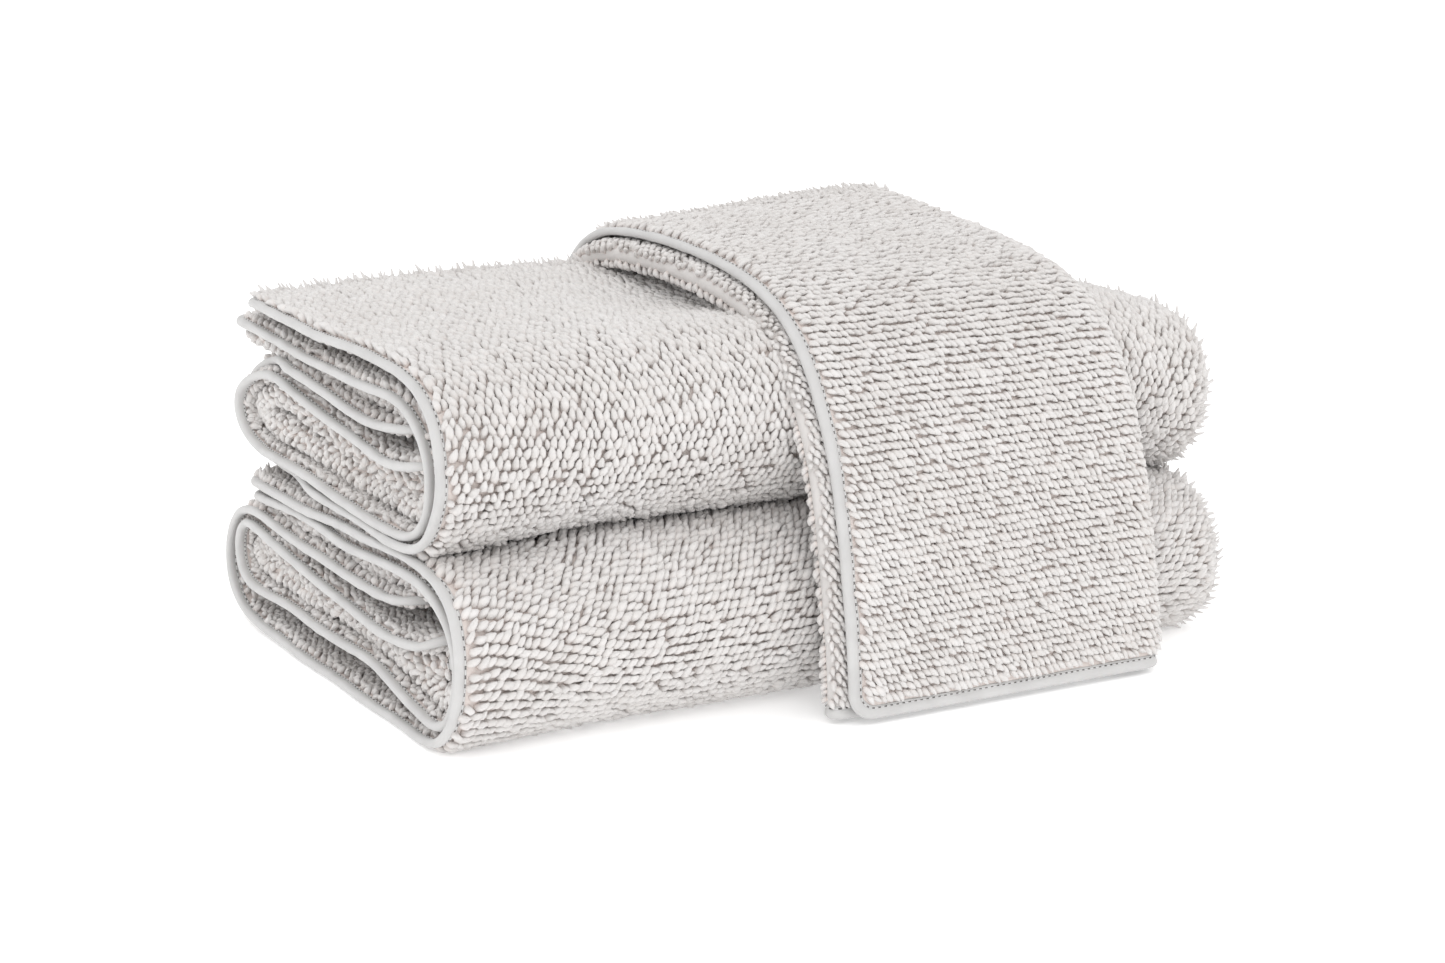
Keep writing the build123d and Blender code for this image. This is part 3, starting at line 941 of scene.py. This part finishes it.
def hand_cloth():
    """The whole cloth of the hand towel, in thirds and draped, as one surface."""
    v = np.arange(0, HAND_FLAT[1] / MM + 0.1, HAND_STEP)
    edges = []
    for side_points, pressed in ((DRAPE_LINE_LEFT, 1.0), (DRAPE_LINE_RIGHT, 0.8)):
        line, length, _ = smooth_line(side_points)
        top = at_lengths(line, length, v)
        edges.append([inward(top, -k * PLY * pressed) for k in range(3)])
    outer_turn, left_turn = PLY, PLY / 2
    closed = DRAPE_LEFT + left_turn
    over = np.concatenate([
        DRAPE_EDGE + np.array([0, 2, 4, 6, 8, 11, 15, 20, 28]),
        np.arange(DRAPE_EDGE + 38, DRAPE_RIGHT - 12, 10), [DRAPE_RIGHT - outer_turn],
    ])
    back = np.append(np.arange(DRAPE_RIGHT - 16, closed + 3, -9), closed)
    forth = np.arange(closed + 6, DRAPE_RIGHT - 10, 9)
    stretches = [
        (over, np.zeros(len(over))),
        fold_turn(DRAPE_RIGHT - outer_turn, outer_turn, 0, 2, 10),
        (back, np.full(len(back), 2.0)),
        fold_turn(closed, -left_turn, 2, 1, 8),
        (forth, np.ones(len(forth))),
    ]
    x, depth = np.hstack(stretches)
    u = distance_across(x, depth)
    to_right = ease((x - DRAPE_LEFT) / (DRAPE_RIGHT - DRAPE_LEFT))[:, None, None]
    left, right = [between(plies, depth) for plies in edges]
    places = np.zeros((len(x), len(v), 3))
    places[..., 0] = x[:, None]
    places[..., 1:] = left * (1 - to_right) + right * to_right
    return Cloth(places, u, v, -1, fold_middles(x, depth, u, 1.5))


def hand_towel():
    """The hand towel's pieces: its ground, and its tape, stitching and pile in a list."""
    body = "hand_towel"
    cloth = hand_cloth()
    right_fold, left_fold = cloth.right_fold, cloth.left_fold
    keep = inside_tape(cloth, HAND_SEAM)
    ground, pieces = cloth_and_edging(body, cloth, HAND_SEAM, 9, left_fold)
    past_fold, beside_fold, bare_half, ridge = 14, 14, 1.8, 14
    all_v = (0, cloth.v[-1])
    for part, u_range, v_range, lean, pile, spread in (
        ("pile", (0, right_fold + past_fold), all_v, HAND_LEAN, HAND_PILE, 0.18),
        ("covered", (right_fold + past_fold, left_fold - beside_fold), all_v, HAND_LEAN, COVERED_PILE, 0.2),
        ("fringe", (0, right_fold), CREST, 150, CREST_PILE, 0.2),
        ("over_fold", (left_fold - ridge, left_fold - bare_half), all_v, -110, FOLD_PILE, 0.2),
        ("under_fold", (left_fold + bare_half, left_fold + ridge), all_v, -70, FOLD_PILE, 0.2),
    ):
        spots = pile_spots(u_range, v_range, 1, pile, keep)
        pieces += pile_pieces(f"{body}_{part}", cloth, spots, steady(lean), body, pile, spread)
    return ground, pieces


# --- floor and light -----------------------------------------------------------------
ROOM_LIGHT = 1.01
KEY_LIGHT = 0.52
KEY_SPREAD = 40            # how wide the key light is, in degrees
KEY_FROM = (-0.45, -0.8, 1.0)
FLOOR_HALF = 8.0           # in metres
FLOOR_GLOW = 0.3


def add_floor():
    """A white sweep, lit a little from within like the paper behind a product shot."""
    material = bpy.data.materials.new("floor")
    material.use_nodes = True
    shader = material.node_tree.nodes["Principled BSDF"]
    shader.inputs["Base Color"].default_value = (0.95, 0.95, 0.95, 1)
    shader.inputs["Roughness"].default_value = 0.9
    shader.inputs["Emission Color"].default_value = (1, 1, 1, 1)
    shader.inputs["Emission Strength"].default_value = FLOOR_GLOW
    half = FLOOR_HALF
    corners = [(-half, -half, 0), (half, -half, 0), (half, half, 0), (-half, half, 0)]
    mesh = bpy.data.meshes.new("floor")
    mesh.from_pydata(corners, [], [(0, 1, 2, 3)])
    mesh.materials.append(material)
    floor = bpy.data.objects.new("floor", mesh)
    bpy.context.scene.collection.objects.link(floor)


def add_lights():
    """Even light from all round, and a soft key from the front left above."""
    world = bpy.data.worlds.new("studio")
    bpy.context.scene.world = world
    world.use_nodes = True
    background = world.node_tree.nodes["Background"]
    background.inputs["Color"].default_value = (1, 1, 1, 1)
    background.inputs["Strength"].default_value = ROOM_LIGHT
    data = bpy.data.lights.new("key", "SUN")
    data.angle = np.radians(KEY_SPREAD)
    data.energy = KEY_LIGHT
    light = bpy.data.objects.new("key", data)
    light.rotation_euler = Vector(KEY_FROM).to_track_quat("Z", "Y").to_euler()
    light.location = Vector(KEY_FROM)
    bpy.context.scene.collection.objects.link(light)
    bpy.context.scene.view_settings.view_transform = "Standard"


# --- the set -------------------------------------------------------------------------
add_camera()
lower_inside = calm_line(front=LOWER_FRONT_Y, back=236, top_end=205, base=0, inner_end=42)
upper_inside = calm_line(front=8, back=217, top_end=198, base=75, inner_end=50)
lower_cloth = bath_cloth(
    LOWER_OUTER, LOWER_INNER, lower_inside, seed=21, sink=(0.0, 9.0), recess=0.0, hollow=(0, 0, 0)
)
upper_cloth = bath_cloth(
    UPPER_OUTER, UPPER_INNER, upper_inside, seed=22, sink=(9.0, 15.5), recess=6.5, hollow=(146, 112, 7)
)
lower, lower_trim = bath_towel("lower_bath_towel", lower_cloth, 12, steady(-42))
upper, upper_trim = bath_towel("upper_bath_towel", upper_cloth, 400, (-118, -60, 160, 262))
hand, hand_trim = hand_towel()
add_floor()
add_lights()
